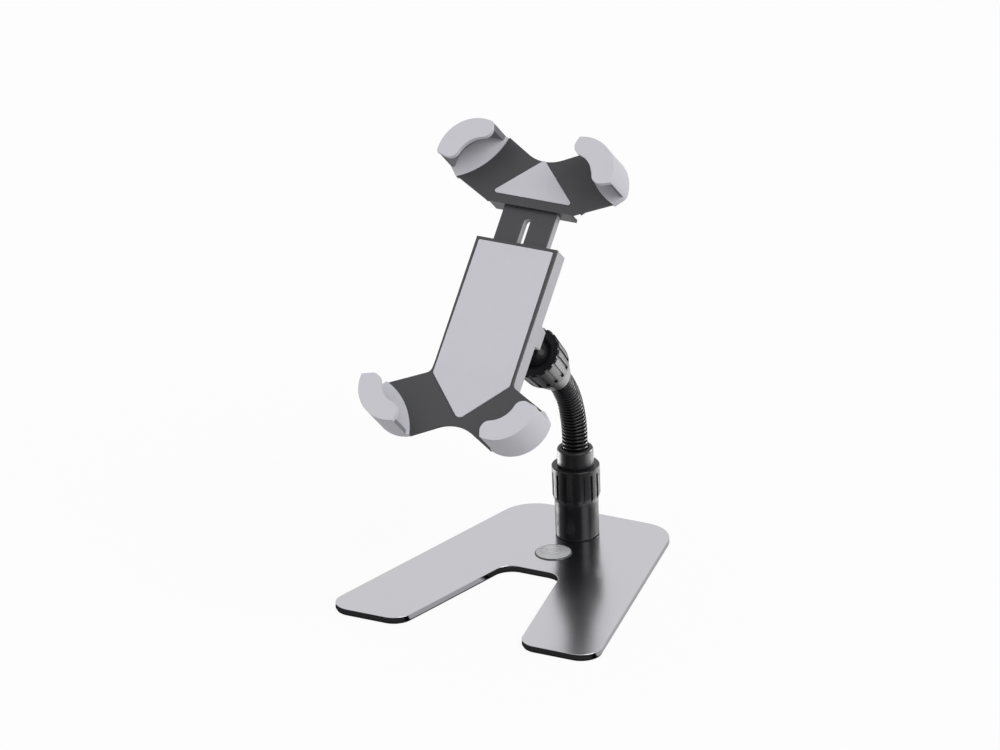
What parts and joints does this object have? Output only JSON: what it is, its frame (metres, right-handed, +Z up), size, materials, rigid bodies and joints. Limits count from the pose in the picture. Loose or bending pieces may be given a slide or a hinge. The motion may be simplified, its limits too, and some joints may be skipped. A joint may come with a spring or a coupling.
{
  "type": "desktop phone stand",
  "caption": "Phone stand with a notched flat base, a post, a ribbed bending neck, a ball joint and a slanted holder whose upper jaw slides, with soft corner claws.",
  "frame": {"origin": "centre of the post's axis on the desk plane, which is the underside of the anti-slip sheet", "axes": "+Z up along the post, -Y forward over the notch of the base and towards the phone's user, +X to the user's right; symmetric about the plane X = 0"},
  "size_m": [0.1546, 0.1781, 0.2484],
  "materials": {
    "base_silver": "fine satin silver paint",
    "sheet_dark": "smooth matt EVA sheet",
    "cap_clear": "clear soft cap",
    "post_black": "satin black",
    "washer_dark": "matt",
    "screw_dark": "dark zinc steel",
    "ring_white": "plain moulded plastic",
    "collar_black": "satin black moulded plastic",
    "ferrule_black": "satin black",
    "neck_black": "satin black sleeve",
    "socket_black": "satin black moulded plastic",
    "cup_white": "slippery moulded plastic",
    "nut_black": "satin black moulded plastic",
    "stud_black": "glossy black",
    "holder_light": "fine satin light grey plastic",
    "holder_dark": "fine satin dark grey plastic",
    "pad_light": "matt soft pad",
    "claw_soft": "matt soft light grey boot"
  },
  "bodies": {
    "base": {"base_plate": "base_silver", "anti_slip_sheet": "sheet_dark", "domed_cap": "cap_clear", "foot_washer": "washer_dark", "post": "post_black", "post_screw": "screw_dark", "compression_ring": "ring_white"},
    "collar": {"collar_nut": "collar_black"},
    "neck_root": {"neck_ferrule": "ferrule_black", "neck_section_1": "neck_black"},
    "neck_2": {"neck_section_2": "neck_black"},
    "neck_3": {"neck_section_3": "neck_black"},
    "neck_4": {"neck_section_4": "neck_black"},
    "neck_5": {"neck_section_5": "neck_black"},
    "neck_6": {"neck_section_6": "neck_black"},
    "neck_7": {"neck_section_7": "neck_black"},
    "socket": {"neck_section_8": "neck_black", "ball_socket": "socket_black", "friction_cup": "cup_white"},
    "nut": {"ball_nut": "nut_black"},
    "ball": {"ball_stud": "stud_black"},
    "holder": {"stem": "holder_light", "stem_screws": "screw_dark", "rear_cover": "holder_light", "cover_screws": "screw_dark", "face_plate": "holder_dark", "front_pad": "pad_light", "guide_screw": "screw_dark", "spring_washer": "screw_dark", "claw_lower_left": "claw_soft", "claw_lower_right": "claw_soft"},
    "jaw": {"upper_jaw": "holder_dark", "tongue_back": "holder_light", "tongue_screws": "screw_dark", "jaw_back_cover": "holder_dark", "jaw_cover_screws": "screw_dark", "triangle_pad": "pad_light", "claw_upper_left": "claw_soft", "claw_upper_right": "claw_soft"}
  },
  "joints": [
    {"name": "collar_turn", "type": "hinge", "parent": "base", "child": "collar", "pos_m": [0, 0, 0.034], "axis": [0, 0, 1], "range_deg": [0, 120]},
    {"name": "neck_swivel", "type": "hinge", "parent": "base", "child": "neck_root", "pos_m": [0, 0, 0.044], "axis": [0, 0, 1], "continuous": true},
    {"name": "neck_bend_1", "type": "hinge", "parent": "neck_root", "child": "neck_2", "pos_m": [0, 0, 0.0625], "axis": [1, 0, 0], "range_deg": [-6.5, 2]},
    {"name": "neck_bend_2", "type": "hinge", "parent": "neck_2", "child": "neck_3", "pos_m": [0, -0.00075, 0.06906], "axis": [1, 0, 0], "range_deg": [-6.5, 2]},
    {"name": "neck_bend_3", "type": "hinge", "parent": "neck_3", "child": "neck_4", "pos_m": [0, -0.00223, 0.07549], "axis": [1, 0, 0], "range_deg": [-6.5, 2]},
    {"name": "neck_bend_4", "type": "hinge", "parent": "neck_4", "child": "neck_5", "pos_m": [0, -0.00443, 0.08171], "axis": [1, 0, 0], "range_deg": [-6.5, 2]},
    {"name": "neck_bend_5", "type": "hinge", "parent": "neck_5", "child": "neck_6", "pos_m": [0, -0.00733, 0.08764], "axis": [1, 0, 0], "range_deg": [-6.5, 2]},
    {"name": "neck_bend_6", "type": "hinge", "parent": "neck_6", "child": "neck_7", "pos_m": [0, -0.01087, 0.09321], "axis": [1, 0, 0], "range_deg": [-6.5, 2]},
    {"name": "neck_bend_7", "type": "hinge", "parent": "neck_7", "child": "socket", "pos_m": [0, -0.01503, 0.09834], "axis": [1, 0, 0], "range_deg": [-6.5, 2]},
    {"name": "ball_nut_turn", "type": "hinge", "parent": "socket", "child": "nut", "pos_m": [0, -0.03963, 0.12252], "axis": [0, -0.7133, 0.7009], "range_deg": [0, 120]},
    {"name": "ball_tilt", "type": "hinge", "parent": "socket", "child": "ball", "pos_m": [0, -0.03963, 0.12252], "axis": [1, 0, 0], "range_deg": [-35, 30]},
    {"name": "holder_spin", "type": "hinge", "parent": "ball", "child": "holder", "pos_m": [0, -0.03963, 0.12252], "axis": [0, -0.7133, 0.7009], "range_deg": [-90, 90]},
    {"name": "jaw_slide", "type": "slide", "parent": "holder", "child": "jaw", "axis": [0, 0.7009, 0.7133], "range_m": [-0.0195, 0.027]}
  ]
}
